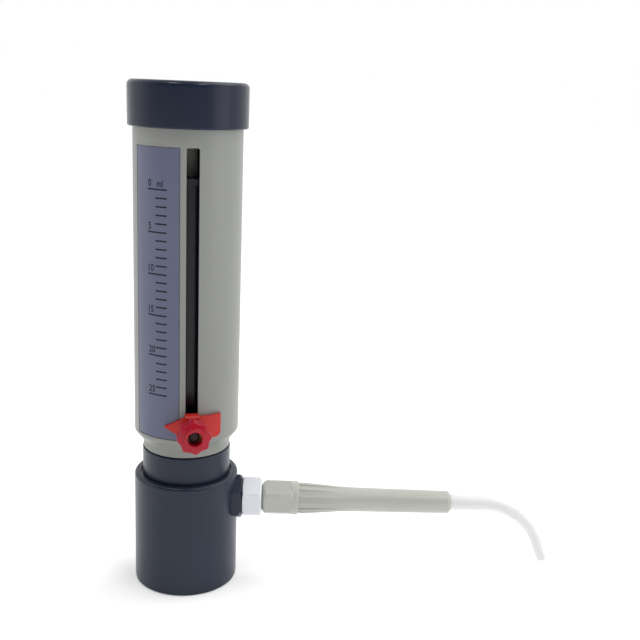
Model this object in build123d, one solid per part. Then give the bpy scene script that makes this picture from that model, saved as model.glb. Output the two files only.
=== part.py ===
from build123d import *
import math
import os

os.makedirs("parts", exist_ok=True)

# Bottle-top dispenser, in millimetres.
# The origin is the centre of the open end that screws onto the bottle, +Z is up
# and the discharge nozzle points along +X. The front, where the sleeve's slot
# is, faces -Y and is turned a little towards the nozzle.

# Clearances
slide_gap = 0.3        # between faces that move past each other
running_gap = 0.05     # radial, shafts and pistons in their bores
seat_gap = 0.02        # radial, pieces glued, pressed or screwed into each other
thread_gap = 0.1       # radial, threads drawn as plain cylinders

# Valve block: the skirt that screws onto the bottle, with the hexagonal boss
skirt_radius = 22.2
skirt_height = 49.6
shoulder_rounding = 1.4
foot_rounding = 0.8
thread_radius = 19.0   # wall of the 38 mm bottle thread
thread_depth = 16.0
rim_radius = 18.2      # bore above the thread, where the bottle's rim stands
cavity_depth = 24.0
gasket_thickness = 1.6
gasket_bore = 10.5
socket_floor = 44.0    # floor of the recess that holds the column
socket_radius = 18.4
groove_radius = 19.5   # shadow groove round the neck
groove_depth = 1.0

# Discharge side
outlet_height = 36.9
boss_radius = 10.3     # over the corners
boss_end = 24.6
corner_chamfer = 1.1
spigot_radius = 6.6
spigot_end = 30.0
outlet_bore = 4.6
channel_radius = 2.0

# Non-return valves
ball_radius = 2.4
ball_travel = 1.2
seat_radius = 1.6      # passage under each ball
inlet_valve_radius = 6.5
inlet_valve_length = 9.0
inlet_flange_radius = 9.0
inlet_flange = 1.6
nipple_radius = 3.2
nipple_end = 16.6      # lowest point of the suction nipple
valve_chamber = 2.9    # radius round each ball
cage_radius = 4.5
cage_thickness = 1.8
cage_holes = 4
seat_front = 18.5      # distance of the outlet seat from the axis
guide_end = 28.8
spring_wire = 0.35
spring_turns = 4

# Column, barrel and neck
neck_radius = 18.7
neck_top = 61.3
column_radius = 17.0
column_wall = 2.0
column_foot = 18.0     # radius of the flange that the neck collar holds down
column_foot_height = 2.5
barrel_bore = 9.8      # gives 3.3 mm of stroke for each millilitre
barrel_wall = 2.0
barrel_seal_height = 2.0
barrel_centring = 8.0
column_top = 177.2
stop_ring_height = 2.5
stop_ring_radius = 19.5

# Piston
head_length = 14.0
head_floor = 46.6
rod_radius = 4.0
rod_shoulder = 7.0
seal_section = 1.6
seal_pitch = 7.0

# Sleeve, cap and scale
sleeve_radius = 22.0
sleeve_wall = 2.0
sleeve_bottom = 61.6
lip_radius = 18.4
lip_top = 65.0
bevel_top = 69.5
sleeve_top = 209.8
plate_seat = 198.0
plate_thickness = 4.0
plate_ledge = 0.6
cap_radius = 24.05
cap_bottom = 195.8
cap_top = 213.6
cap_plate = 3.4
cap_rounding = 2.2
cap_foot_rounding = 0.7
slot_turn = 11.85      # degrees, front face towards the nozzle
slot_width = 5.07
slot_top = 188.9
slot_corner = 0.8
zero_mark = 172.7      # height of the 0 ml mark
scale_near = 13.6      # degrees from the middle of the slot
scale_far = 68.0
scale_bottom = 71.2
scale_top = 188.7
scale_thickness = 0.35
scale_recess = 0.42
scale_margin = 0.35

# Pointer, clamp and knob
pointer_height = 77.0  # tip of the pointer at its lowest setting
pointer_gap = 0.3
pointer_wall = 1.5
tip_angle = 27.5
wing_angle = 30.3
wing_top = 4.7         # above the tip
wing_bottom = 4.8      # below the tip
wing_corner = 2.0
tip_root_angle = 6.0
bridge_width = 5.6
bridge_face = 26.0     # distance of the raised middle from the axis
bridge_top = 5.9
stud_radius = 2.0
stud_end = 33.4
block_width = 10.0
block_thickness = 2.2
block_rise = 1.7       # above the tip, the face that meets the stop ring
block_drop = 5.0
knob_radius = 6.8
knob_neck_radius = 4.7
knob_neck_length = 2.6
knob_flare_length = 1.8
knob_front = 36.5
knob_hub_radius = 4.2
knob_hub_height = 0.5
knob_hole = 2.9
knob_lobes = 8
knob_turn = 5.0        # degrees, one lobe nearly straight down
scallop_radius = 5.0
scallop_depth = 0.85
insert_radius = 3.3
insert_length = 5.4

# Union nut, nozzle and spout
nut_radius = 9.3
nut_end = 33.2
face_gap = 0.1         # either side of the nozzle's flange in the nut
tail_radius = 6.2      # flange of the nozzle inside the nut
tail_thickness = 1.3
outlet_gasket = 0.8
neck_bore = 5.2
collar_radius = 8.1
collar_chamfer_radius = 5.8
collar_chamfer = 1.9
collar_end = 46.6
band_radius = 7.3
band_end = 49.5
rib_count = 12
rib_root = 6.0
rib_height = 0.8
rib_width = 1.3
long_rib_end = 73.0
short_rib_end = 66.0
grip_end = 75.0
body_radius = 5.25
body_end_radius = 4.9
nozzle_end = 116.6
nozzle_rounding = 1.5
nozzle_passage = 1.8
tube_socket = 14.0
tube_radius = 3.5
tube_middle_radius = 3.2
tube_tip_radius = 2.15
tube_wall = 0.9
tube_straight = 131.0
bend_radius = 28.0
bend_angle = 68.0
tube_drop = 9.7


# Helpers: turned solids from a half profile, a hexagonal bar and edge picking

def turned(*profile):
    # The profile is a list of (radius, height) corners round the Z axis.
    outline = Polyline(*[(radius, 0, height) for radius, height in profile], close=True)
    return revolve(make_face(outline), Axis.Z, 360)


def along_x(solid, height=0.0):
    # Stands a Z-turned solid on its side, pointing along +X.
    return Pos(0, 0, height) * Rot(0, 90, 0) * solid


def along_front(solid, height=0.0):
    # Points a Z-turned solid out of the slot, at a height.
    return Rot(0, 0, slot_turn) * Pos(0, 0, height) * Rot(90, 0, 0) * solid


def rim(solid, radius, height):
    # The circular edges of one radius at one height.
    found = []
    for edge in solid.edges().filter_by(GeomType.CIRCLE):
        same_radius = abs(edge.radius - radius) < 0.01
        if same_radius and abs(edge.arc_center.Z - height) < 0.01:
            found.append(edge)
    return found


def hexagon_bar(corner_radius, start, end, front=0.0, back=0.0):
    # A hexagonal bar with a corner up, its corners cut by a cone at either end.
    bar = extrude(RegularPolygon(corner_radius, 6, rotation=30), end - start)
    bar = Rot(0, 0, 90) * Pos(0, 0, start) * bar
    flat = corner_radius * math.cos(math.pi / 6)
    drop = corner_radius - flat + 0.4
    blank = turned(
        (0, start),
        (corner_radius - (drop if back else 0), start),
        (corner_radius + 0.01, start + back),
        (corner_radius + 0.01, end - front),
        (corner_radius - (drop if front else 0), end),
        (0, end),
    )
    return bar & blank


def shell_sector(inner, outer, low, high, start_angle, end_angle):
    # A stretch of cylinder wall; the angles count from the slot, to the right.
    outline = Polyline((inner, 0, low), (outer, 0, low), (outer, 0, high), (inner, 0, high), close=True)
    wall = revolve(make_face(outline), Axis.Z, end_angle - start_angle)
    return Rot(0, 0, slot_turn - 90 + start_angle) * wall


# Valve block

def make_valve_block():
    block = turned(
        (0, 0),
        (skirt_radius, 0),
        (skirt_radius, skirt_height),
        (0, skirt_height),
    )
    block = fillet(rim(block, skirt_radius, skirt_height), shoulder_rounding)
    block = fillet(rim(block, skirt_radius, 0), foot_rounding)
    boss = hexagon_bar(boss_radius, skirt_radius / 2, boss_end, front=corner_chamfer)
    spigot = turned((0, skirt_radius / 2), (spigot_radius, skirt_radius / 2),
                    (spigot_radius, spigot_end), (0, spigot_end))
    block += along_x(boss, outlet_height)
    block += along_x(spigot, outlet_height)
    # The bottle's side: thread wall, the narrower bore for its rim, the ceiling
    block -= turned((0, 0), (thread_radius, 0), (thread_radius, thread_depth),
                    (rim_radius, thread_depth + thread_radius - rim_radius),
                    (rim_radius, cavity_depth), (0, cavity_depth))
    # The column's side: socket with a shadow groove round the neck
    block -= turned((0, socket_floor), (socket_radius, socket_floor),
                    (socket_radius, skirt_height - groove_depth),
                    (groove_radius, skirt_height - groove_depth),
                    (groove_radius, skirt_height), (0, skirt_height))
    valve_top = cavity_depth + inlet_valve_length
    block -= turned((0, cavity_depth), (inlet_valve_radius, cavity_depth),
                    (inlet_valve_radius, valve_top), (valve_chamber, valve_top),
                    (valve_chamber, socket_floor), (0, socket_floor))
    outlet = turned((0, 0), (channel_radius, 0), (channel_radius, outlet_seat_back),
                    (outlet_bore, outlet_seat_back), (outlet_bore, spigot_end), (0, spigot_end))
    block -= along_x(outlet, outlet_height)
    return block


# Inlet valve with its suction nipple, and the two non-return balls
cone_rise = valve_chamber - seat_radius
ball_rest = ball_radius * math.sqrt(2) - seat_radius + running_gap * math.sqrt(2)
outlet_seat_back = seat_front - 3.5


def make_inlet_valve():
    seat = cavity_depth + 1.5
    chamber_top = seat + ball_rest + ball_radius + ball_travel + running_gap
    top = cavity_depth + inlet_valve_length
    outer = inlet_valve_radius - seat_gap
    body = turned(
        (seat_radius, nipple_end),
        (nipple_radius - 0.6, nipple_end),
        (nipple_radius, nipple_end + 0.6),
        (nipple_radius, cavity_depth - inlet_flange),
        (inlet_flange_radius, cavity_depth - inlet_flange),
        (inlet_flange_radius, cavity_depth),
        (outer, cavity_depth),
        (outer, top),
        (cage_radius, top),
        (cage_radius, chamber_top),
        (valve_chamber, chamber_top),
        (valve_chamber, seat + cone_rise),
        (seat_radius, seat),
    )
    ball = Pos(0, 0, seat + ball_rest) * Sphere(ball_radius)
    cage = turned((seat_radius / 2, chamber_top), (cage_radius - seat_gap, chamber_top),
                  (cage_radius - seat_gap, chamber_top + cage_thickness),
                  (seat_radius / 2, chamber_top + cage_thickness))
    hole = Pos(0, 0, chamber_top + cage_thickness / 2) * Cylinder(0.6, 2 * cage_thickness)
    for turn in range(cage_holes):
        cage -= Rot(0, 0, turn * 360 / cage_holes) * Pos(valve_chamber - 0.8, 0, 0) * hole
    return body, ball, cage


# Outlet valve in the boss: seat, ball, guide and spring

def make_outlet_valve():
    outer = outlet_bore - seat_gap
    seat_end = seat_front + cone_rise
    seat = turned((seat_radius, outlet_seat_back), (outer, outlet_seat_back),
                  (outer, seat_end), (valve_chamber, seat_end), (seat_radius, seat_front))
    ball_centre = seat_front + ball_rest
    ball = Pos(0, 0, ball_centre) * Sphere(ball_radius)
    disc_back = guide_end - cage_thickness
    guide = turned((valve_chamber, seat_end), (outer, seat_end), (outer, guide_end),
                   (channel_radius / 2, guide_end), (channel_radius / 2, disc_back),
                   (valve_chamber, disc_back))
    # Slots in the guide's wall and disc let the liquid round the ball
    slot = Pos(valve_chamber, 0, (seat_end + guide_end) / 2 + 0.6) * Box(1.6, 1.2, guide_end - seat_end)
    for turn in range(cage_holes):
        guide -= Rot(0, 0, turn * 360 / cage_holes) * slot
    spring_start = ball_centre + ball_radius + spring_wire
    spring_length = disc_back - spring_wire - spring_start
    spring_radius = valve_chamber - spring_wire - 0.9
    coil = Helix(spring_length / spring_turns, spring_length, spring_radius)
    section = Plane(origin=coil @ 0, z_dir=coil % 0) * RegularPolygon(spring_wire, 6)
    spring = Pos(0, 0, spring_start) * sweep(section, coil)
    return [along_x(solid, outlet_height) for solid in (seat, ball, guide, spring)]


def make_ring(inner, outer, low, high):
    return turned((inner, low), (outer, low), (outer, high), (inner, high))


# Column: the fixed tube that the sleeve slides over, with the glass inside

def make_neck_collar():
    foot_top = socket_floor + column_foot_height
    ledge = skirt_height - groove_depth
    collar = turned(
        (column_radius + seat_gap, foot_top),
        (socket_radius - seat_gap, foot_top),
        (socket_radius - seat_gap, ledge),
        (neck_radius, ledge),
        (neck_radius, neck_top),
        (column_radius + seat_gap, neck_top),
    )
    return fillet(rim(collar, neck_radius, neck_top), 0.5)


def make_column():
    bore = column_radius - column_wall
    barrel_fit = barrel_bore + barrel_wall + seat_gap
    foot_top = socket_floor + column_foot_height
    return turned(
        (barrel_fit, socket_floor),
        (column_foot, socket_floor),
        (column_foot, foot_top),
        (column_radius, foot_top),
        (column_radius, ring_underside),
        (bore, ring_underside),
        (bore, socket_floor + barrel_centring + bore - barrel_fit),
        (barrel_fit, socket_floor + barrel_centring),
    )


ring_underside = column_top - stop_ring_height
barrel_top = ring_underside + 0.8


def make_stop_ring():
    plug = column_radius - column_wall - seat_gap
    barrel_fit = barrel_bore + barrel_wall + seat_gap
    ring = turned(
        (barrel_fit, ring_underside - barrel_centring),
        (plug, ring_underside - barrel_centring),
        (plug, ring_underside),
        (stop_ring_radius, ring_underside),
        (stop_ring_radius, column_top),
        (barrel_bore + 0.2, column_top),
        (barrel_bore + 0.2, barrel_top),
        (barrel_fit, barrel_top),
    )
    return fillet(rim(ring, stop_ring_radius, column_top), 0.4)


# Piston and its rod, which swivels in the drive plate under the cap

def make_piston():
    head_radius = barrel_bore - running_gap
    head_top = head_floor + head_length
    groove = head_radius - seal_section
    half = seal_section / 2
    head = make_ring(rod_radius * 0.7 + seat_gap, head_radius, head_floor, head_top)
    seals = []
    for side in (-0.5, 0.5):
        height = head_floor + head_length / 2 + side * seal_pitch
        head -= make_ring(groove, head_radius + 1, height - half, height + half)
        seals.append(make_ring(groove, head_radius + running_gap / 2, height - half, height + half))
    # A screw through the head holds it on the rod
    head -= turned((0, head_floor), (rod_radius + 0.4, head_floor), (rod_radius + 0.4, head_floor + 2),
                   (0, head_floor + 2))
    screw = turned((0, head_floor + 0.2), (rod_radius, head_floor + 0.2), (rod_radius, head_floor + 2),
                   (rod_radius * 0.7, head_floor + 2), (rod_radius * 0.7, head_top + 6), (0, head_top + 6))
    shoulder_top = plate_seat - slide_gap
    journal = rod_radius - running_gap
    rod = turned(
        (0, head_top + 6),
        (rod_radius * 0.7 + seat_gap, head_top + 6),
        (rod_radius * 0.7 + seat_gap, head_top),
        (rod_radius, head_top),
        (rod_radius, shoulder_top - 6),
        (rod_shoulder, shoulder_top - 3),
        (rod_shoulder, shoulder_top),
        (journal, shoulder_top),
        (journal, cap_top - cap_plate - 1),
        (0, cap_top - cap_plate - 1),
    )
    washer_low = plate_seat + plate_thickness + slide_gap
    washer = make_ring(journal + seat_gap, rod_shoulder, washer_low, washer_low + 1)
    nut = extrude(RegularPolygon(rod_shoulder - 0.4, 6), 3.2)
    nut = Pos(0, 0, washer_low + 1) * nut
    nut -= Pos(0, 0, washer_low) * Cylinder(journal + seat_gap, 12)
    return head, Compound(children=seals), screw, rod, washer, nut


# Sleeve with its slot and scale

def make_sleeve():
    bore = sleeve_radius - sleeve_wall
    lip_bore = column_radius + 0.4
    sleeve = turned(
        (lip_bore, sleeve_bottom),
        (lip_radius, sleeve_bottom),
        (lip_radius, lip_top),
        (sleeve_radius, bevel_top),
        (sleeve_radius, sleeve_top),
        (bore + plate_ledge, sleeve_top),
        (bore + plate_ledge, plate_seat),
        (bore, plate_seat),
        (bore, bevel_top + 0.5),
        (lip_bore, lip_top + 2),
    )
    sleeve = fillet(rim(sleeve, sleeve_radius, bevel_top), 1.2)
    sleeve = fillet(rim(sleeve, lip_radius, lip_top), 1.0)
    sleeve = fillet(rim(sleeve, lip_radius, sleeve_bottom), 0.5)
    slot_bottom = pointer_height - stud_radius - slide_gap
    slot = Box(slot_width, 12, slot_top - slot_bottom, align=(Align.CENTER, Align.MAX, Align.MIN))
    corners = slot.edges().filter_by(Axis.Y).group_by(Axis.Z)
    slot = fillet(corners[-1] + corners[0], slot_corner)
    sleeve -= Rot(0, 0, slot_turn) * Pos(0, 6 - sleeve_radius, slot_bottom) * slot
    margin = math.degrees(scale_margin / sleeve_radius)
    sleeve -= shell_sector(sleeve_radius - scale_recess, sleeve_radius + 1,
                           scale_bottom - scale_margin, scale_top + scale_margin,
                           -scale_far - margin, -scale_near + margin)
    back = sleeve_radius - scale_recess + seat_gap
    panel = shell_sector(back, back + scale_thickness, scale_bottom, scale_top, -scale_far, -scale_near)
    return sleeve, panel


def make_cap():
    bore = sleeve_radius + seat_gap
    ceiling = cap_top - cap_plate
    press_outer = sleeve_radius - sleeve_wall + plate_ledge - seat_gap
    cap = turned((0, cap_bottom), (cap_radius, cap_bottom), (cap_radius, cap_top), (0, cap_top))
    cap = fillet(rim(cap, cap_radius, cap_top), cap_rounding)
    cap = fillet(rim(cap, cap_radius, cap_bottom), cap_foot_rounding)
    cap -= turned((0, cap_bottom), (bore, cap_bottom), (bore, ceiling), (0, ceiling))
    # An inner rim holds the drive plate down on its ledge
    cap += make_ring(press_outer - 3, press_outer, plate_seat + plate_thickness, ceiling)
    return cap


# Pointer: a plate that hugs the sleeve, with a raised middle under the knob

def make_pointer():
    inner = sleeve_radius + pointer_gap
    outer = inner + pointer_wall
    middle = (inner + outer) / 2

    def across(angle):
        return middle * math.radians(angle)

    # The plate's outline is drawn flat, then bent round the sleeve by cutting a shell
    right = outer * math.sin(math.radians(wing_angle))
    left = outer * math.sin(math.radians(tip_angle))
    root = across(tip_root_angle)
    wing = make_face(Polyline((0, -wing_bottom), (right, -wing_bottom), (right, wing_top),
                              (0, wing_top), close=True))
    lower_right = wing.vertices().sort_by(Axis.X)[-2:].sort_by(Axis.Y)[0]
    wing = fillet(lower_right, wing_corner)
    arrow = make_face(Polyline((0, -wing_bottom), (-root, -wing_bottom), (-left, 0),
                               (-root, wing_top), (0, wing_top), close=True))
    flat = extrude(Plane.XZ * (wing + arrow), outer + 5)
    shell = make_ring(inner, outer, -2 * wing_bottom, 2 * wing_top)
    plate = flat & shell
    bridge = Pos(0, -(inner + bridge_face) / 2, (bridge_top - wing_bottom) / 2) * Box(
        bridge_width, bridge_face - inner, bridge_top + wing_bottom)
    bridge = chamfer(bridge.edges().filter_by(Axis.X).group_by(Axis.Y)[0], 0.8)
    core = Cylinder(inner, 4 * wing_bottom)
    plate += bridge - core
    plate -= Rot(90, 0, 0) * Cylinder(stud_radius + seat_gap, 3 * sleeve_radius, align=(
        Align.CENTER, Align.CENTER, Align.MIN))
    return Rot(0, 0, slot_turn) * Pos(0, 0, pointer_height) * plate


# Clamp stud: a curved block inside the sleeve with the threaded stud on it

def make_clamp_stud():
    outer = sleeve_radius - sleeve_wall - slide_gap
    inner = outer - block_thickness
    height = block_rise + block_drop
    block = Pos(0, -sleeve_radius, (block_rise - block_drop) / 2) * Box(block_width, 2 * sleeve_radius, height)
    block &= make_ring(inner, outer, -block_drop, block_rise)
    block = Rot(0, 0, slot_turn) * Pos(0, 0, pointer_height) * block
    stud = turned((0, inner + 1), (stud_radius, inner + 1), (stud_radius, stud_end - 0.4),
                  (stud_radius - 0.4, stud_end), (0, stud_end))
    return block + along_front(stud, pointer_height)


# Clamp knob: a lobed grip on a narrow neck, round a threaded insert

def make_knob():
    back = bridge_face + slide_gap
    flare = back + knob_neck_length
    grip = flare + knob_flare_length
    face = knob_front - knob_hub_height
    insert_end = back + insert_length
    knob = turned(
        (insert_radius + seat_gap, back),
        (knob_neck_radius, back),
        (knob_neck_radius, flare),
        (knob_radius, grip),
        (knob_radius, face - 0.6),
        (knob_hub_radius, face),
        (knob_hub_radius, knob_front),
        (knob_hole, knob_front),
        (knob_hole, insert_end),
        (insert_radius + seat_gap, insert_end),
    )
    scallop_centre = knob_radius - scallop_depth + scallop_radius
    scallop = Pos(scallop_centre, 0, flare) * Cylinder(
        scallop_radius, knob_front, align=(Align.CENTER, Align.CENTER, Align.MIN))
    for lobe in range(knob_lobes):
        knob -= Rot(0, 0, knob_turn + (lobe + 0.5) * 360 / knob_lobes) * scallop
    insert = make_ring(stud_radius + running_gap, insert_radius, back, insert_end)
    return along_front(knob, pointer_height), along_front(insert, pointer_height)


# Union nut and nozzle
tail_start = spigot_end + outlet_gasket + face_gap
tail_end = tail_start + tail_thickness


def make_union_nut():
    start = boss_end + slide_gap
    lip = tail_end + face_gap
    nut = hexagon_bar(nut_radius, start, nut_end, front=corner_chamfer, back=corner_chamfer / 2)
    nut -= turned((0, start), (spigot_radius + thread_gap, start), (spigot_radius + thread_gap, lip),
                  (neck_bore, lip), (neck_bore, nut_end), (0, nut_end))
    return along_x(nut, outlet_height)


def make_rib(end, turn):
    # A straight rib that starts at the band and runs out in the tapering body.
    start = band_end - 0.5
    top = rib_root + rib_height
    side = make_face(Polyline((start, rib_root - 1.5), (start, top), (band_end + 3, top),
                              (end, body_radius), (end, body_radius - 1), close=True))
    rib = extrude(Plane.XZ * side, rib_width / 2, both=True)
    return Rot(turn, 0, 0) * rib


def make_nozzle():
    collar_start = nut_end + slide_gap
    neck = neck_bore - thread_gap
    collar = hexagon_bar(collar_radius, collar_start, collar_end)
    collar &= turned((0, collar_start), (collar_chamfer_radius, collar_start),
                     (collar_radius + 0.01, collar_start + collar_chamfer),
                     (collar_radius + 0.01, collar_end), (0, collar_end))
    body = turned(
        (0, tail_start),
        (tail_radius, tail_start),
        (tail_radius, tail_end),
        (neck, tail_end),
        (neck, collar_start + 1),
        (neck, collar_end - 1),
        (band_radius, collar_end - 1),
        (band_radius, band_end - 0.6),
        (rib_root, band_end),
        (body_radius, grip_end),
        (body_end_radius, nozzle_end),
        (0, nozzle_end),
    )
    body = fillet(rim(body, body_end_radius, nozzle_end), nozzle_rounding)
    nozzle = Rot(0, 90, 0) * (body + collar)
    for rib in range(rib_count):
        end = long_rib_end if rib % 2 == 0 else short_rib_end
        nozzle += make_rib(end, 30 + rib * 360 / rib_count)
    socket = nozzle_end - tube_socket
    passage = turned((0, tail_start), (nozzle_passage, tail_start), (nozzle_passage, socket),
                     (tube_radius + seat_gap, socket), (tube_radius + seat_gap, nozzle_end),
                     (0, nozzle_end))
    nozzle -= Rot(0, 90, 0) * passage
    return Pos(0, 0, outlet_height) * nozzle


# Discharge spout: a stiff tapering tube, straight, then bent down

def spout_solid(shrink):
    socket = nozzle_end - tube_socket
    bend_length = math.radians(bend_angle) * bend_radius
    whole = tube_straight - nozzle_end + bend_length + tube_drop
    steps = 8
    straight = Polyline((0, 0, socket), (tube_radius - shrink, 0, socket),
                        (tube_radius - shrink, 0, nozzle_end),
                        (tube_middle_radius - shrink, 0, tube_straight),
                        (0, 0, tube_straight), close=True)
    solid = Rot(0, 90, 0) * revolve(make_face(straight), Axis.Z, 360)

    def section(part):
        # One cross-section, a share of the way from the bend's start to the tip.
        travelled = part * (bend_length + tube_drop)
        angle = min(travelled / bend_radius, math.radians(bend_angle))
        left = max(travelled - bend_length, 0)
        x = tube_straight + bend_radius * math.sin(angle) + left * math.cos(angle)
        z = -bend_radius * (1 - math.cos(angle)) - left * math.sin(angle)
        radius = tube_middle_radius + (tube_tip_radius - tube_middle_radius) * part - shrink
        direction = (math.cos(angle), 0, -math.sin(angle))
        return Plane(origin=(x, 0, z), x_dir=(0, 1, 0), z_dir=direction) * Circle(radius)

    bend_part = bend_length / (bend_length + tube_drop)
    bend = [section(bend_part * step / steps) for step in range(steps + 1)]
    solid += loft(bend)
    solid += loft([bend[-1], section(1.0)])
    return Pos(0, 0, outlet_height) * solid


def make_spout():
    return spout_solid(0) - spout_solid(tube_wall)


# Every piece, by name
inlet_valve, inlet_ball, inlet_cage = make_inlet_valve()
outlet_seat, outlet_ball, outlet_guide, outlet_spring = make_outlet_valve()
piston_head, piston_seals, piston_screw, piston_rod, rod_washer, rod_nut = make_piston()
outer_sleeve, scale_panel = make_sleeve()
clamp_knob, knob_insert = make_knob()
barrel_outer = barrel_bore + barrel_wall
barrel_floor = socket_floor + barrel_seal_height
drive_plate_radius = sleeve_radius - sleeve_wall + plate_ledge - seat_gap
gasket_seat = spigot_end + outlet_gasket

pieces = {
    "valve_block": make_valve_block(),
    "bottle_gasket": make_ring(gasket_bore, rim_radius - seat_gap, cavity_depth - gasket_thickness, cavity_depth),
    "inlet_valve_body": inlet_valve,
    "inlet_ball": inlet_ball,
    "inlet_cage": inlet_cage,
    "outlet_seat": outlet_seat,
    "outlet_ball": outlet_ball,
    "outlet_guide": outlet_guide,
    "outlet_spring": outlet_spring,
    "outlet_gasket": along_x(make_ring(channel_radius, spigot_radius - 0.4, spigot_end, gasket_seat), outlet_height),
    "neck_collar": make_neck_collar(),
    "guide_column": make_column(),
    "stop_ring": make_stop_ring(),
    "glass_barrel": make_ring(barrel_bore, barrel_outer, barrel_floor, barrel_top),
    "barrel_seal": make_ring(barrel_bore, barrel_outer, socket_floor, barrel_floor),
    "piston_head": piston_head,
    "piston_seals": piston_seals,
    "piston_screw": piston_screw,
    "piston_rod": piston_rod,
    "rod_washer": rod_washer,
    "rod_nut": rod_nut,
    "outer_sleeve": outer_sleeve,
    "scale_panel": scale_panel,
    "drive_plate": make_ring(rod_radius, drive_plate_radius, plate_seat, plate_seat + plate_thickness),
    "cap": make_cap(),
    "pointer_plate": make_pointer(),
    "clamp_stud": make_clamp_stud(),
    "clamp_knob": clamp_knob,
    "knob_insert": knob_insert,
    "union_nut": make_union_nut(),
    "nozzle_body": make_nozzle(),
    "discharge_tube": make_spout(),
}

for name, piece in pieces.items():
    export_step(piece, f"parts/{name}.step")
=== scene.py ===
import math

import bmesh
import bpy
import numpy as np
from mathutils import Matrix


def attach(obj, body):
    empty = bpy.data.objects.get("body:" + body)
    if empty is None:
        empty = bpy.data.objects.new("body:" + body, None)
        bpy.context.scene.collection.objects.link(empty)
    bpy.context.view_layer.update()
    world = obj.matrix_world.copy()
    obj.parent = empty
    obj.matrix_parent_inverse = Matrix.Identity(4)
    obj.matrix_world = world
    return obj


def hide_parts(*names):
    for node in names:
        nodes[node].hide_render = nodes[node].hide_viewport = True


# A bottle-top dispenser: the looks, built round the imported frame.
# The nozzle points along +X, the slot and the scale face -Y.
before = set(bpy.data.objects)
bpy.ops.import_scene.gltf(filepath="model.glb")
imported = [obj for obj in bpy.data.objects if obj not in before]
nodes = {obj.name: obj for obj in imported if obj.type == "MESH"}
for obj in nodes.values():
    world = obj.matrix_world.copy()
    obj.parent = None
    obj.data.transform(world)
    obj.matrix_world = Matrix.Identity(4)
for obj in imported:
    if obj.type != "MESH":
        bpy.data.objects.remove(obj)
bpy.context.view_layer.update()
mm = 0.001
slotTurn = math.radians(11.85)          # the sleeve's front is turned towards the nozzle
outletHeight = 36.9


# Camera, at the photograph's viewing angle
cameraView = {
    "place": (0.04472, -0.37378, 0.21307),
    "yaw": 1.673,
    "pitch": 14.217,
    "roll": 2.405,
    "focalPixels": 916.32,
    "picturePixels": 640,
    "sensor": 36.0,
}


def addCamera(view):
    # The view direction from yaw and pitch, then the picture is rolled about it.
    yaw, pitch, roll = np.radians([view["yaw"], view["pitch"], view["roll"]])
    forward = np.array([np.sin(yaw) * np.cos(pitch), np.cos(yaw) * np.cos(pitch), -np.sin(pitch)])
    level = np.array([np.cos(yaw), -np.sin(yaw), 0.0])
    upright = np.cross(level, forward)
    right = level * np.cos(roll) + upright * np.sin(roll)
    top = upright * np.cos(roll) - level * np.sin(roll)
    lens = bpy.data.cameras.new("camera")
    lens.sensor_width = view["sensor"]
    lens.lens = view["focalPixels"] * view["sensor"] / view["picturePixels"]
    lens.clip_start = 0.01
    eye = bpy.data.objects.new("camera", lens)
    turn = np.eye(4)
    turn[:3, 0], turn[:3, 1], turn[:3, 2], turn[:3, 3] = right, top, -forward, view["place"]
    eye.matrix_world = Matrix(turn.tolist())
    bpy.context.scene.collection.objects.link(eye)
    bpy.context.scene.camera = eye


addCamera(cameraView)
print("camera placed")


# Studio: a pale floor in a white room that is darker on the camera's side
studio = {
    "floorColour": (0.965, 0.965, 0.965, 1),
    "floorGlow": 0.2,                   # makes the far floor as bright as the room behind it
    "floorReach": 6.0,
    "roomBack": 1.0,
    "roomFront": 0.22,
    "sun": {"from": (0.55, 0.35, 1.0), "angle": 38.0, "strength": 0.8},
    "lamps": {
        "glintLeft": {"place": (-0.26, -0.34, 1.0), "size": (0.16, 0.10), "power": 1.3},
        "glintRight": {"place": (0.34, -0.34, 1.0), "size": (0.16, 0.10), "power": 1.3},
        "rightPanel": {"place": (0.75, -0.25, 0.35), "size": (0.5, 0.8), "power": 1.3},
        "leftPanel": {"place": (-0.75, -0.05, 0.35), "size": (0.5, 0.8), "power": 0.2},
    },
    "aim": (0.03, 0.0, 0.1),
}


def facing(place, back):
    # A matrix at a place whose Z axis points back along the light's way.
    back = np.array(back) / np.linalg.norm(back)
    side = np.cross((0.0, 0.0, 1.0), back)
    side /= np.linalg.norm(side)
    turn = np.eye(4)
    turn[:3, 0], turn[:3, 1], turn[:3, 2], turn[:3, 3] = side, np.cross(back, side), back, place
    return Matrix(turn.tolist())


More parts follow.
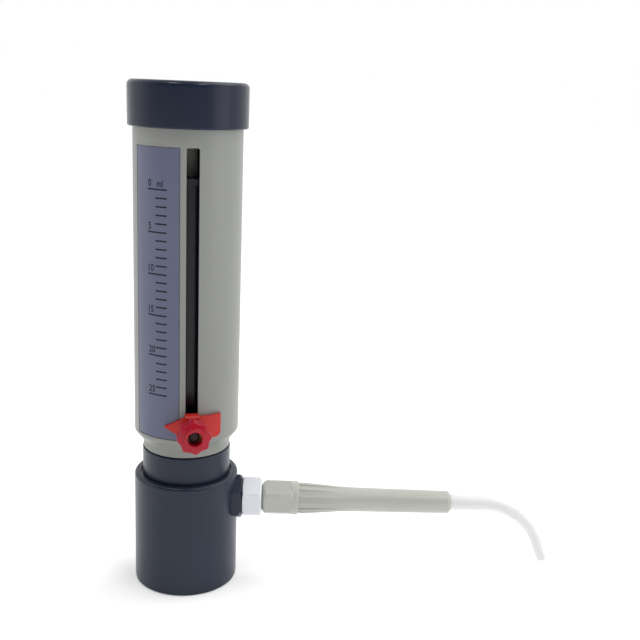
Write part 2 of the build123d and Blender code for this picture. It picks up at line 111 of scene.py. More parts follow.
def addStudio(values):
    world = bpy.data.worlds.new("room")
    world.use_nodes = True
    tree = world.node_tree
    # The room's brightness runs from front to back with the direction's Y.
    way = tree.nodes.new("ShaderNodeSeparateXYZ")
    tree.links.new(tree.nodes.new("ShaderNodeTexCoord").outputs["Generated"], way.inputs[0])
    share = tree.nodes.new("ShaderNodeMapRange")
    share.interpolation_type = "SMOOTHSTEP"
    share.inputs["From Min"].default_value = -0.75
    share.inputs["From Max"].default_value = 0.25
    share.inputs["To Min"].default_value = values["roomFront"]
    share.inputs["To Max"].default_value = values["roomBack"]
    tree.links.new(way.outputs["Y"], share.inputs["Value"])
    sky = tree.nodes["Background"]
    sky.inputs["Color"].default_value = (1, 1, 1, 1)
    tree.links.new(share.outputs["Result"], sky.inputs["Strength"])
    bpy.context.scene.world = world
    sun = bpy.data.lights.new("sun", "SUN")
    sun.angle = math.radians(values["sun"]["angle"])
    sun.energy = values["sun"]["strength"]
    holder = bpy.data.objects.new("sun", sun)
    holder.matrix_world = facing((0, 0, 1), values["sun"]["from"])
    bpy.context.scene.collection.objects.link(holder)
    for name, lamp in values["lamps"].items():
        light = bpy.data.lights.new(name, "AREA")
        light.shape = "RECTANGLE"
        light.size, light.size_y = lamp["size"]
        light.energy = lamp["power"]
        holder = bpy.data.objects.new(name, light)
        holder.matrix_world = facing(lamp["place"], np.array(lamp["place"]) - np.array(values["aim"]))
        bpy.context.scene.collection.objects.link(holder)
    reach = values["floorReach"]
    corners = [(-reach, -reach, 0), (reach, -reach, 0), (reach, reach, 0), (-reach, reach, 0)]
    mesh = bpy.data.meshes.new("floor")
    mesh.from_pydata(corners, [], [(0, 1, 2, 3)])
    floor = bpy.data.objects.new("floor", mesh)
    bpy.context.scene.collection.objects.link(floor)
    paint = bpy.data.materials.new("floorPaint")
    paint.use_nodes = True
    shader = paint.node_tree.nodes["Principled BSDF"]
    shader.inputs["Base Color"].default_value = values["floorColour"]
    shader.inputs["Roughness"].default_value = 0.9
    shader.inputs["Emission Color"].default_value = values["floorColour"]
    shader.inputs["Emission Strength"].default_value = values["floorGlow"]
    mesh.materials.append(paint)


addStudio(studio)
bpy.context.scene.view_settings.view_transform = "Standard"
print("studio lit")


# Shared surface effects, as node groups
def newGroup(name, inputs, outputs):
    group = bpy.data.node_groups.new(name, "ShaderNodeTree")
    for label, kind, value in inputs:
        socket = group.interface.new_socket(label, in_out="INPUT", socket_type=kind)
        socket.default_value = value
    for label, kind in outputs:
        group.interface.new_socket(label, in_out="OUTPUT", socket_type=kind)
    return group, group.nodes.new("NodeGroupInput"), group.nodes.new("NodeGroupOutput")


def addNoise(tree, vector, scale, detail, roughness=0.55):
    noise = tree.nodes.new("ShaderNodeTexNoise")
    noise.inputs["Detail"].default_value = detail
    noise.inputs["Roughness"].default_value = roughness
    tree.links.new(vector, noise.inputs["Vector"])
    if isinstance(scale, (int, float)):
        noise.inputs["Scale"].default_value = scale
    else:
        tree.links.new(scale, noise.inputs["Scale"])
    return noise.outputs["Fac"]


def addRange(tree, value, low, high, outLow=0.0, outHigh=1.0):
    node = tree.nodes.new("ShaderNodeMapRange")
    node.inputs["From Min"].default_value = low
    node.inputs["From Max"].default_value = high
    node.inputs["To Min"].default_value = outLow
    node.inputs["To Max"].default_value = outHigh
    tree.links.new(value, node.inputs["Value"])
    return node.outputs["Result"]


def addMath(tree, kind, first, second):
    node = tree.nodes.new("ShaderNodeMath")
    node.operation = kind
    for socket, value in zip(node.inputs, (first, second)):
        if isinstance(value, (int, float)):
            socket.default_value = value
        else:
            tree.links.new(value, socket)
    return node.outputs[0]


def addMix(tree, factor, first, second):
    node = tree.nodes.new("ShaderNodeMix")
    node.data_type = "RGBA"
    for socket, value in ((node.inputs["Factor"], factor), (node.inputs[6], first), (node.inputs[7], second)):
        if isinstance(value, (int, float, tuple)):
            socket.default_value = value
        else:
            tree.links.new(value, socket)
    return node.outputs[2]


def buildMouldedSkin():
    # Moulded plastic: cloudy colour, a fine grain and roughness that drifts with handling.
    colour, number = "NodeSocketColor", "NodeSocketFloat"
    group, taken, given = newGroup(
        "mouldedSkin",
        [("Colour", colour, (0.5, 0.5, 0.5, 1)), ("Second colour", colour, (0.4, 0.4, 0.4, 1)),
         ("Cloud scale", number, 30.0), ("Grain scale", number, 1800.0),
         ("Roughness", number, 0.3), ("Roughness drift", number, 0.1)],
        [("Colour", colour), ("Roughness", number), ("Height", number)])
    place = group.nodes.new("ShaderNodeTexCoord").outputs["Object"]
    cloud = addRange(group, addNoise(group, place, taken.outputs["Cloud scale"], 3.0), 0.3, 0.7)
    tone = addMix(group, cloud, taken.outputs["Colour"], taken.outputs["Second colour"])
    grain = addNoise(group, place, taken.outputs["Grain scale"], 2.0)
    ripple = addNoise(group, place, 160.0, 1.0)
    height = addMath(group, "ADD", addMath(group, "MULTIPLY", grain, 0.3), ripple)
    handled = addMath(group, "SUBTRACT", addNoise(group, place, 55.0, 4.0), 0.5)
    rough = addMath(group, "ADD", taken.outputs["Roughness"],
                    addMath(group, "MULTIPLY", handled, taken.outputs["Roughness drift"]))
    group.links.new(tone, given.inputs["Colour"])
    group.links.new(rough, given.inputs["Roughness"])
    group.links.new(height, given.inputs["Height"])
    return group


def buildFineMarks():
    # Hairline scuffs and specks of dust, as one mask.
    number = "NodeSocketFloat"
    group, taken, given = newGroup("fineMarks", [("Amount", number, 0.5)], [("Mask", number)])
    place = group.nodes.new("ShaderNodeTexCoord").outputs["Object"]
    total = 0.0
    for turn, squeeze in ((0.5, (1500.0, 1500.0, 160.0)), (1.3, (180.0, 180.0, 1600.0))):
        lay = group.nodes.new("ShaderNodeMapping")
        lay.inputs["Rotation"].default_value = (turn * 0.2, turn * 0.3, turn)
        lay.inputs["Scale"].default_value = squeeze
        group.links.new(place, lay.inputs["Vector"])
        hair = addRange(group, addNoise(group, lay.outputs["Vector"], 1.0, 2.0), 0.74, 0.80)
        total = addMath(group, "ADD", hair, total)
    speck = addRange(group, addNoise(group, place, 2600.0, 1.0), 0.74, 0.8)
    total = addMath(group, "ADD", total, speck)
    group.links.new(addMath(group, "MULTIPLY", total, taken.outputs["Amount"]), given.inputs["Mask"])
    return group


mouldedSkin = buildMouldedSkin()
fineMarks = buildFineMarks()
grainDepth = 0.0003                     # metres, full height of a moulded skin's bump
brushDepth = 0.0002
brushScale = 900.0
markRoughness = 0.3                     # added where a mark is
plainIndex = 1.5


def newMaterial(name, **sockets):
    # A material with one shader; sockets that are the same all over are set on the shader itself.
    material = bpy.data.materials.new(name)
    material.use_nodes = True
    tree = material.node_tree
    shader = tree.nodes["Principled BSDF"]
    for label, value in sockets.items():
        shader.inputs[label.replace("_", " ")].default_value = value
    return material, tree, shader


def addBump(tree, shader, height, strength, distance):
    bump = tree.nodes.new("ShaderNodeBump")
    bump.inputs["Strength"].default_value = strength
    bump.inputs["Distance"].default_value = distance
    tree.links.new(height, bump.inputs["Height"])
    tree.links.new(bump.outputs["Normal"], shader.inputs["Normal"])


def moulded(name, look):
    # A moulded plastic from one dictionary of values.
    material, tree, shader = newMaterial(name, IOR=look.get("ior", plainIndex))
    skin = tree.nodes.new("ShaderNodeGroup")
    skin.node_tree = mouldedSkin
    for label, key in (("Colour", "colour"), ("Second colour", "second"), ("Cloud scale", "cloud"),
                       ("Grain scale", "grain"), ("Roughness", "rough"), ("Roughness drift", "drift")):
        value = look[key]
        skin.inputs[label].default_value = (*value, 1) if isinstance(value, tuple) else value
    marks = tree.nodes.new("ShaderNodeGroup")
    marks.node_tree = fineMarks
    marks.inputs["Amount"].default_value = look["marks"]
    dusty = addMix(tree, marks.outputs["Mask"], skin.outputs["Colour"], (*look["dust"], 1))
    marked = addMath(tree, "MULTIPLY", marks.outputs["Mask"], markRoughness)
    rough = addMath(tree, "ADD", skin.outputs["Roughness"], marked)
    tree.links.new(dusty, shader.inputs["Base Color"])
    tree.links.new(rough, shader.inputs["Roughness"])
    addBump(tree, shader, skin.outputs["Height"], look["bump"], grainDepth)
    return material


finishes = {
    "navyGloss": {"ior": 1.35, "colour": (0.015, 0.021, 0.038), "second": (0.018, 0.025, 0.044),
                  "cloud": 24.0, "grain": 1500.0, "rough": 0.3, "drift": 0.08,
                  "bump": 0.1, "marks": 0.05, "dust": (0.16, 0.17, 0.19)},
    "capGloss": {"ior": 1.35, "colour": (0.008, 0.012, 0.028), "second": (0.010, 0.015, 0.034),
                 "cloud": 24.0, "grain": 1500.0, "rough": 0.24, "drift": 0.08,
                 "bump": 0.08, "marks": 0.05, "dust": (0.14, 0.15, 0.17)},
    # The column's near-black is the navy moulding's colour darkened: painted shade for the column and stop ring
    # deep in the sleeve's shadow
    "columnShadedGloss": {"ior": 1.35, "colour": (0.005, 0.005, 0.011), "second": (0.007, 0.007, 0.014),
                    "cloud": 18.0, "grain": 1800.0, "rough": 0.22, "drift": 0.08,
                    "bump": 0.06, "marks": 0.04, "dust": (0.1, 0.1, 0.12)},
    "sleeveSatin": {"colour": (0.226, 0.234, 0.219), "second": (0.248, 0.255, 0.238),
                    "cloud": 14.0, "grain": 1300.0, "rough": 0.38, "drift": 0.08,
                    "bump": 0.1, "marks": 0.06, "dust": (0.5, 0.5, 0.47)},
    "scaleFilm": {"colour": (0.090, 0.100, 0.172), "second": (0.103, 0.113, 0.186),
                  "cloud": 22.0, "grain": 2600.0, "rough": 0.36, "drift": 0.06,
                  "bump": 0.05, "marks": 0.04, "dust": (0.3, 0.32, 0.37)},
    "scaleInk": {"ior": 1.3, "colour": (0.006, 0.007, 0.016), "second": (0.009, 0.01, 0.02),
                 "cloud": 200.0, "grain": 3000.0, "rough": 0.5, "drift": 0.1,
                 "bump": 0.1, "marks": 0.05, "dust": (0.06, 0.06, 0.08)},
    "crimsonGloss": {"ior": 1.35, "colour": (0.345, 0.003, 0.018), "second": (0.38, 0.005, 0.020),
                     "cloud": 120.0, "grain": 2000.0, "rough": 0.22, "drift": 0.08,
                     "bump": 0.08, "marks": 0.05, "dust": (0.6, 0.2, 0.2)},
    "orangeRed": {"ior": 1.35, "colour": (0.445, 0.013, 0.011), "second": (0.48, 0.022, 0.016),
                  "cloud": 110.0, "grain": 2000.0, "rough": 0.33, "drift": 0.08,
                  "bump": 0.1, "marks": 0.05, "dust": (0.65, 0.3, 0.2)},
    "whiteSatin": {"colour": (0.74, 0.77, 0.81), "second": (0.78, 0.81, 0.84),
                   "cloud": 60.0, "grain": 1700.0, "rough": 0.36, "drift": 0.08,
                   "bump": 0.1, "marks": 0.05, "dust": (0.6, 0.6, 0.6)},
    "nozzleSatin": {"colour": (0.455, 0.468, 0.42), "second": (0.49, 0.5, 0.45),
                    "cloud": 40.0, "grain": 1500.0, "rough": 0.34, "drift": 0.08,
                    "bump": 0.12, "marks": 0.05, "dust": (0.6, 0.6, 0.56)},
    "whiteSlick": {"colour": (0.78, 0.78, 0.75), "second": (0.74, 0.74, 0.71),
                   "cloud": 60.0, "grain": 1600.0, "rough": 0.45, "drift": 0.1,
                   "bump": 0.1, "marks": 0.05, "dust": (0.6, 0.6, 0.6)},
    "ceramicGlaze": {"colour": (0.8, 0.78, 0.72), "second": (0.76, 0.74, 0.68),
                     "cloud": 200.0, "grain": 2500.0, "rough": 0.12, "drift": 0.05,
                     "bump": 0.03, "marks": 0.02, "dust": (0.6, 0.6, 0.6)},
    "blackRubber": {"colour": (0.018, 0.018, 0.019), "second": (0.028, 0.028, 0.03),
                    "cloud": 150.0, "grain": 1200.0, "rough": 0.72, "drift": 0.15,
                    "bump": 0.35, "marks": 0.1, "dust": (0.12, 0.12, 0.12)},
}
materials = {name: moulded(name, look) for name, look in finishes.items()}


def metal(name, colour):
    # Metal with a fine uneven grain in its colour, roughness and bump.
    material, tree, shader = newMaterial(name, Metallic=1.0)
    place = tree.nodes.new("ShaderNodeTexCoord").outputs["Object"]
    lines = addNoise(tree, place, brushScale, 6.0, 0.75)
    tint = addMix(tree, lines, (*[c * 0.82 for c in colour], 1), (*colour, 1))
    tree.links.new(tint, shader.inputs["Base Color"])
    tree.links.new(addRange(tree, lines, 0.2, 0.8, 0.22, 0.42), shader.inputs["Roughness"])
    addBump(tree, shader, lines, 0.15, brushDepth)
    return material


def milkyTube():
    # Soft white plastic: the light spreads a little under its surface.
    material, tree, shader = newMaterial("milkyTube", IOR=1.36, Subsurface_Weight=0.15, Subsurface_Scale=0.004)
    shader.inputs["Subsurface Radius"].default_value = (1.0, 1.0, 0.95)
    place = tree.nodes.new("ShaderNodeTexCoord").outputs["Object"]
    cloud = addRange(tree, addNoise(tree, place, 90.0, 3.0), 0.3, 0.7)
    tint = addMix(tree, cloud, (0.79, 0.795, 0.79, 1), (0.83, 0.835, 0.83, 1))
    tree.links.new(tint, shader.inputs["Base Color"])
    tree.links.new(addRange(tree, cloud, 0.0, 1.0, 0.22, 0.32), shader.inputs["Roughness"])
    addBump(tree, shader, addNoise(tree, place, 700.0, 2.0), 0.08, grainDepth)
    return material


def clearGlass():
    material, tree, shader = newMaterial("clearGlass", Transmission_Weight=1.0, IOR=1.47)
    place = tree.nodes.new("ShaderNodeTexCoord").outputs["Object"]
    film = addNoise(tree, place, 60.0, 3.0)
    tree.links.new(addRange(tree, film, 0.3, 0.7, 0.02, 0.06), shader.inputs["Roughness"])
    tint = addMix(tree, film, (0.93, 0.97, 0.97, 1), (0.97, 0.99, 0.99, 1))
    tree.links.new(tint, shader.inputs["Base Color"])
    return material


metals = {
    "steelTurned": (0.62, 0.62, 0.61),
    # A near-black steel with a red cast: painted shade, the colour of the shaded inside of the knob's hole where
    # the stud and its thread end
    "steelShadedDark": (0.035, 0.020, 0.020),
    "brassTurned": (0.26, 0.13, 0.07),
}
for name, colour in metals.items():
    materials[name] = metal(name, colour)
materials["milkyTube"] = milkyTube()
materials["clearGlass"] = clearGlass()

nodeFinish = {
    "valve_block": "navyGloss", "neck_collar": "navyGloss", "cap": "capGloss",
    "guide_column": "columnShadedGloss", "stop_ring": "columnShadedGloss", "outer_sleeve": "sleeveSatin",
    "drive_plate": "sleeveSatin", "scale_panel": "scaleFilm", "pointer_plate": "orangeRed",
    "clamp_knob": "crimsonGloss", "knob_insert": "brassTurned", "clamp_stud": "steelShadedDark",
    "union_nut": "whiteSatin", "nozzle_body": "nozzleSatin", "discharge_tube": "milkyTube",
    "glass_barrel": "clearGlass", "piston_head": "whiteSlick", "piston_rod": "whiteSlick",
    "piston_screw": "steelTurned", "rod_washer": "steelTurned", "rod_nut": "steelTurned",
    "piston_seals": "blackRubber", "barrel_seal": "blackRubber", "bottle_gasket": "blackRubber",
    "outlet_gasket": "blackRubber", "inlet_valve_body": "whiteSlick", "inlet_cage": "whiteSlick",
    "outlet_seat": "whiteSlick", "outlet_guide": "whiteSlick", "outlet_spring": "steelTurned",
    "inlet_ball": "ceramicGlaze", "outlet_ball": "ceramicGlaze",
}
for name, piece in nodes.items():
    piece.data.materials.clear()
    piece.data.materials.append(materials[nodeFinish[name]])
print("materials assigned")


# Mesh making: grids of points computed as whole arrays
def putMesh(name, points, faces, finish, smooth=True):
    mesh = bpy.data.meshes.new(name)
    mesh.from_pydata(points.tolist(), [], faces.tolist())
    mesh.validate()
    mesh.polygons.foreach_set("use_smooth", np.full(len(mesh.polygons), smooth))
    mesh.materials.append(materials[finish])
    mesh.update()
    piece = bpy.data.objects.new(name, mesh)
    bpy.context.scene.collection.objects.link(piece)
    return piece


def gridFaces(rows, columns, wrapRows, wrapColumns):
    # Quads between neighbouring points of a grid, closed round where it wraps.
    row = np.arange(rows if wrapRows else rows - 1)[:, None]
    column = np.arange(columns if wrapColumns else columns - 1)[None, :]
    nextRow, nextColumn = (row + 1) % rows, (column + 1) % columns
    corners = [row * columns + column, row * columns + nextColumn,
               nextRow * columns + nextColumn, nextRow * columns + column]
    return np.stack(np.broadcast_arrays(*corners), -1).reshape(-1, 4)


def roundedProfile(corners, step):
    # A closed outline of (radius, place along, rounding) corners: each corner becomes an arc
    # tangent to both sides, and the straight stretches are divided into steps.
    points = np.array([corner[:2] for corner in corners], float)
    outline = []
    for index, corner in enumerate(corners):
        here, rounding = points[index], corner[2]
        before, after = points[index - 1] - here, points[(index + 1) % len(points)] - here
        before, after = before / np.linalg.norm(before), after / np.linalg.norm(after)
        if rounding == 0:
            outline.append(here[None, :])
            continue
        half = math.acos(np.clip(before @ after, -1, 1)) / 2
        middle = (before + after) / np.linalg.norm(before + after)
        centre = here + middle * rounding / math.sin(half)
        start = here + before * rounding / math.tan(half) - centre
        end = here + after * rounding / math.tan(half) - centre
        share = np.linspace(0, 1, 6)[:, None]
        arc = start * (1 - share) + end * share
        arc *= rounding / np.linalg.norm(arc, axis=1, keepdims=True)
        outline.append(centre + arc)
    path = np.vstack(outline)
    closed = np.vstack([path, path[:1]])
    pieces = []
    for start, end in zip(closed[:-1], closed[1:]):
        count = max(int(np.ceil(np.linalg.norm(end - start) / step)), 1)
        pieces.append(start + (end - start) * (np.arange(count) / count)[:, None])
    return np.vstack(pieces)


def softMin(first, second, width):
    # The smaller of two lengths, with the meeting edge rounded over about the width.
    low = np.minimum(first, second)
    return low - width * np.log1p(np.exp(-np.abs(first - second) / width))


def spunGrid(profile, turns, reshape=None):
    # Carries a (radius, along) outline round the Z axis; reshape(radius, along, angle) changes the radius.
    angle = np.arange(turns) * 2 * np.pi / turns
    radius = np.broadcast_to(profile[:, :1], (len(profile), turns))
    along = np.broadcast_to(profile[:, 1:], (len(profile), turns))
    if reshape is not None:
        radius = reshape(radius, along, angle[None, :])
    return np.stack([radius * np.cos(angle), radius * np.sin(angle), along], -1)


def pointAlongX(grid):
    # Z becomes +X, raised to the outlet's height; angle 0 of the grid points down.
    return np.stack([grid[..., 2], grid[..., 1], outletHeight - grid[..., 0]], -1) * mm


def pointToFront(grid, height):
    # Z becomes the way out of the slot, at a height; angle 90 degrees of the grid points up.
    side, up, out = grid[..., 0], grid[..., 1], grid[..., 2]
    x = side * math.cos(slotTurn) + out * math.sin(slotTurn)
    y = side * math.sin(slotTurn) - out * math.cos(slotTurn)
    return np.stack([x, y, up + height], -1) * mm


def closedPiece(name, grid, finish):
    faces = gridFaces(grid.shape[0], grid.shape[1], True, True)
    return putMesh(name, grid.reshape(-1, 3), faces, finish)


def settle(piece, body, slot, *replaced):
    # Faces the mesh outwards and hands the piece to its body.
    shape = bmesh.new()
    shape.from_mesh(piece.data)
    bmesh.ops.recalc_face_normals(shape, faces=shape.faces)
    shape.to_mesh(piece.data)
    shape.free()
    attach(piece, body)
    if replaced:
        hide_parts(*replaced)
    return piece


def hexagonLimit(flat, cornerRound, angle, cornerAt):
    # Distance from the axis to a hexagon whose corners are arcs: the flat's distance over the
    # cosine of the angle from its normal, or the corner circle's far side near a corner.
    toCorner = (angle - cornerAt + np.pi / 6) % (np.pi / 3) - np.pi / 6
    straight = flat / np.cos(np.pi / 6 - np.abs(toCorner))
    centre = (flat - cornerRound) / math.cos(math.pi / 6)
    inside = np.clip(cornerRound ** 2 - (centre * np.sin(toCorner)) ** 2, 0, None)
    corner = centre * np.cos(toCorner) + np.sqrt(inside)
    arcStart = (flat - cornerRound) * math.tan(math.pi / 6) / flat
    touches = np.abs(np.tan(np.pi / 6 - np.abs(toCorner))) > arcStart
    return np.where(touches, corner, straight)


# Union nut
unionNut = {
    "cornerRadius": 9.3, "start": 24.9, "end": 33.2, "bore": 6.7, "lipFace": 32.3, "lipBore": 5.2,
    "cornerRound": 0.55, "faceRadius": 7.85, "coneLength": 0.9, "edge": 0.3, "turns": 180,
}


def makeUnionNut(v):
    profile = roundedProfile([
        (v["bore"], v["start"], 0.2), (v["faceRadius"] + 0.15, v["start"], 0.3),
        (v["cornerRadius"] + 0.2, v["start"] + v["coneLength"] * 0.6, 0.3),
        (v["cornerRadius"] + 0.2, v["end"] - v["coneLength"], 0.5),
        (v["faceRadius"], v["end"], v["edge"]), (v["lipBore"], v["end"], 0.15),
        (v["lipBore"], v["lipFace"], 0.1), (v["bore"], v["lipFace"], 0.1)], 0.7)
    flat = v["cornerRadius"] * math.cos(math.pi / 6)

    def toHexagon(radius, along, angle):
        return softMin(radius, hexagonLimit(flat, v["cornerRound"], angle, 0.0), 0.05)

    grid = pointAlongX(spunGrid(profile, v["turns"], toHexagon))
    return settle(closedPiece("unionNut", grid, "whiteSatin"), "union_nut", "white_plastic", "union_nut")


# Nozzle: tail flange, hexagonal collar, band, ribs and tapering body
nozzle = {
    "tailStart": 30.9, "tailRadius": 6.2, "tailEnd": 32.2, "neckRadius": 5.1, "collarStart": 33.5,
    "collarRadius": 8.1, "chamferRadius": 5.8, "chamfer": 1.9, "collarEnd": 46.6, "cornerRound": 0.9,
    "bandRadius": 7.3, "bandEnd": 49.5, "root": 6.0, "gripEnd": 75.0, "bodyRadius": 5.25,
    "endRadius": 4.9, "end": 116.6, "endRound": 1.5, "passage": 1.8, "socket": 102.6, "socketRadius": 3.52,
    "ribs": 12, "ribHeight": 0.8, "ribHalfWidth": 0.62, "longRibEnd": 73.0, "shortRibEnd": 66.0, "turns": 240,
}


def makeNozzle(v):
    profile = roundedProfile([
        (v["passage"], v["tailStart"], 0), (v["tailRadius"], v["tailStart"], 0.2),
        (v["tailRadius"], v["tailEnd"], 0.2), (v["neckRadius"], v["tailEnd"], 0.1),
        (v["neckRadius"], v["collarStart"], 0.1), (v["chamferRadius"], v["collarStart"], 0.2),
        (v["collarRadius"] + 0.1, v["collarStart"] + v["chamfer"], 0.6),
        (v["collarRadius"] + 0.1, v["collarEnd"] - 0.4, 0.3), (v["bandRadius"], v["collarEnd"] + 0.2, 0.25),
        (v["bandRadius"], v["bandEnd"] - 0.5, 0.35), (v["root"], v["bandEnd"], 0.3),
        (v["bodyRadius"], v["gripEnd"], 12.0), (v["endRadius"], v["end"], v["endRound"]),
        (v["socketRadius"], v["end"], 0.25), (v["socketRadius"], v["socket"], 0),
        (v["passage"], v["socket"], 0)], 0.6)
    flat = v["collarRadius"] * math.cos(math.pi / 6)
    pitch = 2 * np.pi / v["ribs"]

    def toGrip(radius, along, angle):
        # Hexagon up to the collar's end, then ribs that sink into the body, every second one longer.
        hexagon = hexagonLimit(flat, v["cornerRound"], angle, 0.0)
        collared = np.where(along < v["collarEnd"] + 0.1, softMin(radius, hexagon, 0.08), radius)
        number = np.round(angle / pitch)
        away = np.abs(angle - number * pitch) * v["root"]
        end = np.where(number % 2 == 0, v["longRibEnd"], v["shortRibEnd"])
        start = v["bandEnd"] - 0.4
        run = np.clip((along - start) / (end - start), 0, 1)
        rise = np.clip((along - start) / 0.8, 0, 1) * (1 - run) ** 0.7
        bump = 1 - np.clip((away - v["ribHalfWidth"] * 0.45) / (v["ribHalfWidth"] * 0.75), 0, 1)
        bump = bump * bump * (3 - 2 * bump)
        outside = radius > v["bodyRadius"] - 0.4
        return collared + np.where(outside & (along > start), v["ribHeight"] * rise * bump, 0)

    grid = pointAlongX(spunGrid(profile, v["turns"], toGrip))
    return settle(closedPiece("nozzleBody", grid, "nozzleSatin"), "nozzle", "nozzle_plastic", "nozzle_body")


# Spout: a stiff tapering tube, straight, then bent down
spout = {
    "socket": 102.8, "exit": 116.6, "straightEnd": 131.0, "bendRadius": 28.0, "bendAngle": 68.0, "drop": 9.7,
    "socketRadius": 3.5, "middleRadius": 3.2, "tipRadius": 2.15, "wall": 0.9, "steps": 110, "turns": 64,
}


def makeSpout(v):
    # The path's place and direction at a distance s: along X, round the bend's arc, then straight down it.
    bendAngle = math.radians(v["bendAngle"])
    bendLength = bendAngle * v["bendRadius"]
    straight = v["straightEnd"] - v["socket"]
    whole = straight + bendLength + v["drop"]
    s = np.linspace(0, whole, v["steps"])
    angle = np.clip((s - straight) / v["bendRadius"], 0, bendAngle)
    past = np.clip(s - straight - bendLength, 0, None)
    x = v["socket"] + np.minimum(s, straight) + v["bendRadius"] * np.sin(angle) + past * math.cos(bendAngle)
    z = outletHeight - v["bendRadius"] * (1 - np.cos(angle)) - past * math.sin(bendAngle)
    radius = np.interp(s, [0, v["exit"] - v["socket"], straight, whole],
                       [v["socketRadius"], v["socketRadius"], v["middleRadius"], v["tipRadius"]])
    smooth = np.convolve(np.pad(radius, 6, mode="edge"), np.ones(13) / 13, mode="valid")
    # The tip's edge is rounded: its last points close in from the outside to the bore
    lip = np.linspace(0, np.pi, 9)
    lipHalf = v["wall"] / 2 * 0.92
    outer = np.stack([smooth, s * 0], -1)
    inner = np.stack([smooth - v["wall"], s * 0], -1)[::-1]
    turnTip = np.stack([v["tipRadius"] - v["wall"] / 2 + lipHalf * np.cos(lip), lipHalf * np.sin(lip)], -1)
    turnTip[:, 1] -= lipHalf
    outer[-1], inner[0] = turnTip[0], turnTip[-1]
    rings = np.vstack([outer[:-1], turnTip, inner[1:]])
    index = np.concatenate([np.arange(len(s) - 1), np.full(len(lip), len(s) - 1), np.arange(len(s) - 1)[::-1]])
    around = np.arange(v["turns"]) * 2 * np.pi / v["turns"]
    away, ahead = rings[:, :1], rings[:, 1:]
    tilt = angle[index][:, None]
    gridX = x[index][:, None] + ahead * np.cos(tilt) + away * np.cos(around) * np.sin(tilt)
    gridZ = z[index][:, None] - ahead * np.sin(tilt) + away * np.cos(around) * np.cos(tilt)
    gridY = away * np.sin(around)
    grid = np.stack([gridX, gridY + 0 * gridX, gridZ], -1) * mm
    return settle(closedPiece("dischargeSpout", grid, "milkyTube"), "nozzle", "milky_tube", "discharge_tube")


# Clamp knob with eight lobes
knob = {
    "height": 77.0, "back": 26.3, "neckRadius": 4.7, "neckEnd": 28.9, "gripStart": 30.7, "gripRadius": 6.9,
    "faceEdge": 35.3, "face": 36.0, "front": 36.5, "hubRadius": 4.2, "hole": 2.9, "insertEnd": 31.7,
    "insertRadius": 3.32, "lobes": 8, "turn": 5.0, "scallopRadius": 5.0, "scallopDepth": 0.85, "turns": 192,
    "lobesFrom": 4.5,                   # radius inside which the grip stays round
}


def makeKnob(v):
    profile = roundedProfile([
        (v["insertRadius"], v["back"], 0), (v["neckRadius"], v["back"], 0.3),
        (v["neckRadius"], v["neckEnd"], 1.2), (v["gripRadius"], v["gripStart"], 0.5),
        (v["gripRadius"], v["faceEdge"], 0.5), (v["hubRadius"] + 0.2, v["face"] - 0.05, 0.2),
        (v["hubRadius"], v["front"], 0.25), (v["hole"], v["front"], 0.3),
        (v["hole"], v["insertEnd"], 0), (v["insertRadius"], v["insertEnd"], 0)], 0.35)
    centre = v["gripRadius"] - v["scallopDepth"] + v["scallopRadius"]
    pitch = 2 * np.pi / v["lobes"]

    def toLobes(radius, along, angle):
        # Between lobes the grip is cut by circles that stand outside it.
        away = (angle - math.radians(v["turn"])) % pitch - pitch / 2
        inside = np.clip(v["scallopRadius"] ** 2 - (centre * np.sin(away)) ** 2, 0, None)
        near = centre * np.cos(away) - np.sqrt(inside)
        return np.where(radius > v["lobesFrom"], softMin(radius, near, 0.10), radius)

    grid = pointToFront(spunGrid(profile, v["turns"], toLobes), v["height"])
    return settle(closedPiece("clampKnobGrip", grid, "crimsonGloss"), "knob", "crimson_plastic", "clamp_knob")


# Threads: a ridge carried along a helix, inward or outward from its radius
threads = {
    "bottle": {"radius": 19.0, "height": 1.1, "pitch": 4.0, "start": 2.6, "end": 14.0, "width": 2.2, "inward": 1},
    "stud": {"radius": 1.98, "height": 0.17, "pitch": 0.7, "start": 31.9, "end": 33.1, "width": 0.5, "inward": -1},
    "lead": 0.6,                        # radians over which a ridge rises at either end
    "stepsPerTurn": 72,
}


def helixRidge(v):
    # Place at angle a: radius times (cos a, sin a), start plus pitch times a over a full turn.
    # The ridge's section is a flat-topped bump that sinks to nothing at both ends of the thread.
    turns = (v["end"] - v["start"]) / v["pitch"]
    count = int(threads["stepsPerTurn"] * turns)
    angle = np.linspace(0, turns * 2 * np.pi, count)[:, None]
    section = np.array([[-0.5, -0.03], [-0.28, 1.0], [0.28, 1.0], [0.5, -0.03]])
    fade = np.clip(np.minimum(angle, angle[-1] - angle) / threads["lead"], 0, 1)
    along = v["start"] + v["pitch"] * angle / (2 * np.pi) + section[:, 0] * v["width"]
    away = v["radius"] - v["inward"] * v["height"] * section[:, 1] * np.maximum(fade, 0.03)
    grid = np.stack([away * np.cos(angle), away * np.sin(angle), along + 0 * away], -1)
    faces = gridFaces(count, 4, False, True)
    last = count * 4 - 1
    ends = np.array([[0, 1, 2, 3], [last, last - 1, last - 2, last - 3]])
    return grid, np.vstack([faces, ends])


def makeThreads(v):
    grid, faces = helixRidge(v["bottle"])
    ridge = putMesh("bottleThread", grid.reshape(-1, 3) * mm, faces, "navyGloss")
    settle(ridge, "base", "navy_plastic")
    grid, faces = helixRidge(v["stud"])
    front = pointToFront(grid, knob["height"])
    settle(putMesh("studThread", front.reshape(-1, 3), faces, "steelShadedDark"), "pointer", "steel")


# Scale: ticks and plain numbers, as thin ink on the panel
scale = {
    "panelRadius": 21.95, "ink": 0.03, "zeroHeight": 172.7, "perMillilitre": 3.322, "volume": 25,
    "shortFrom": -39.6, "longFrom": -49.6, "to": -26.7, "stroke": 0.6,
    "numberHeight": 2.9, "numberAt": -48.8, "numberLift": 1.1, "numberSqueeze": 0.82,
    "unitAt": -37.6, "unitHeight": 2.5, "tickSteps": 12,
    "capHeight": 0.72,                  # a figure's height over the lettering's size
    "bold": 0.05,
}


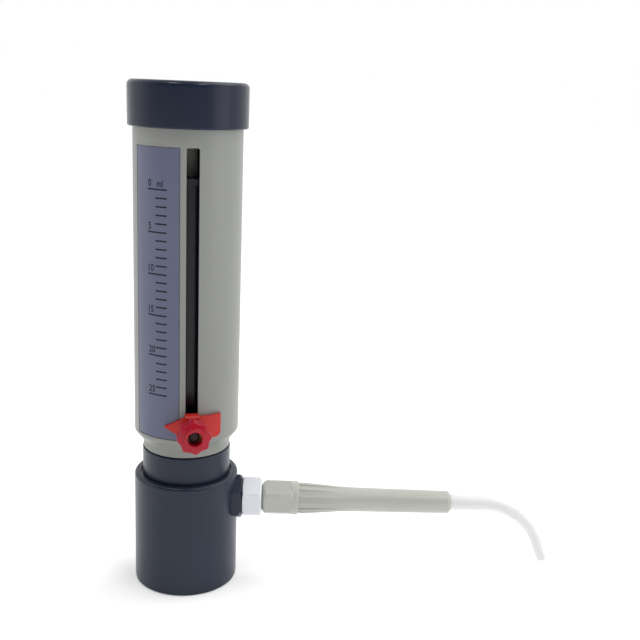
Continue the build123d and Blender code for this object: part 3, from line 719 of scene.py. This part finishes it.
def onPanel(angle, height, away):
    # A place on the panel: angle in radians from the slot, height and distance over it.
    turn = slotTurn - np.pi / 2 + angle
    radius = scale["panelRadius"] + away
    return np.stack([radius * np.cos(turn), radius * np.sin(turn), height + 0 * turn], -1) * mm


def makeTicks(v):
    steps = v["tickSteps"]
    point = np.arange(v["volume"] + 1)
    start = np.radians(np.where(point % 5 == 0, v["longFrom"], v["shortFrom"]))[:, None, None]
    share = np.linspace(0, 1, steps)[None, :, None]
    angle = start + (math.radians(v["to"]) - start) * share
    side = np.array([-0.5, 0.5, 0.5, -0.5])[None, None, :] * v["stroke"]
    away = np.array([0.0, 0.0, 1.0, 1.0])[None, None, :] * v["ink"]
    height = (v["zeroHeight"] - point * v["perMillilitre"])[:, None, None] + side
    angle, height, away = np.broadcast_arrays(angle, height, away)
    grid = onPanel(angle, height, away)
    one = gridFaces(steps, 4, False, True)
    ends = np.array([[3, 2, 1, 0], [steps * 4 - 4, steps * 4 - 3, steps * 4 - 2, steps * 4 - 1]])
    one = np.vstack([one, ends])
    faces = (one[None] + (point * steps * 4)[:, None, None]).reshape(-1, 4)
    piece = putMesh("scaleTicks", grid.reshape(-1, 3), faces, "scaleInk", smooth=False)
    return settle(piece, "sleeve", "scale_film")


def textMesh(words, size, squeeze):
    # Plain lettering as flat mesh, its left end at 0.
    curve = bpy.data.curves.new("lettering", "FONT")
    curve.body = words
    curve.size = size / scale["capHeight"]
    curve.resolution_u = 4
    curve.extrude = 0.5
    curve.offset = scale["bold"]
    holder = bpy.data.objects.new("lettering", curve)
    bpy.context.scene.collection.objects.link(holder)
    bpy.context.view_layer.update()
    mesh = bpy.data.meshes.new_from_object(holder.evaluated_get(bpy.context.evaluated_depsgraph_get()))
    bpy.data.objects.remove(holder)
    place = np.empty(len(mesh.vertices) * 3)
    mesh.vertices.foreach_get("co", place)
    place = place.reshape(-1, 3)
    place[:, 0] = (place[:, 0] - place[:, 0].min()) * squeeze
    return mesh, place


def makeNumbers(v):
    items = [(str(point), v["numberAt"], v["numberHeight"], point) for point in range(0, v["volume"] + 1, 5)]
    items.append(("ml", v["unitAt"], v["unitHeight"], 0))
    shapes = []
    for words, at, size, point in items:
        mesh, place = textMesh(words, size, v["numberSqueeze"])
        angle = math.radians(at) + place[:, 0] / v["panelRadius"]
        height = v["zeroHeight"] - point * v["perMillilitre"] + v["numberLift"] + place[:, 1]
        away = (place[:, 2] > 0) * v["ink"]
        mesh.vertices.foreach_set("co", onPanel(angle, height, away).ravel())
        mesh.materials.clear()
        mesh.materials.append(materials["scaleInk"])
        shapes.append(bpy.data.objects.new("scaleNumbers", mesh))
        bpy.context.scene.collection.objects.link(shapes[-1])
    with bpy.context.temp_override(active_object=shapes[0], selected_editable_objects=shapes):
        bpy.ops.object.join()
    return settle(shapes[0], "sleeve", "scale_film")


makeUnionNut(unionNut)
makeNozzle(nozzle)
makeSpout(spout)
makeKnob(knob)
makeThreads(threads)
print("turned pieces made")
makeTicks(scale)
makeNumbers(scale)
print("scale printed")
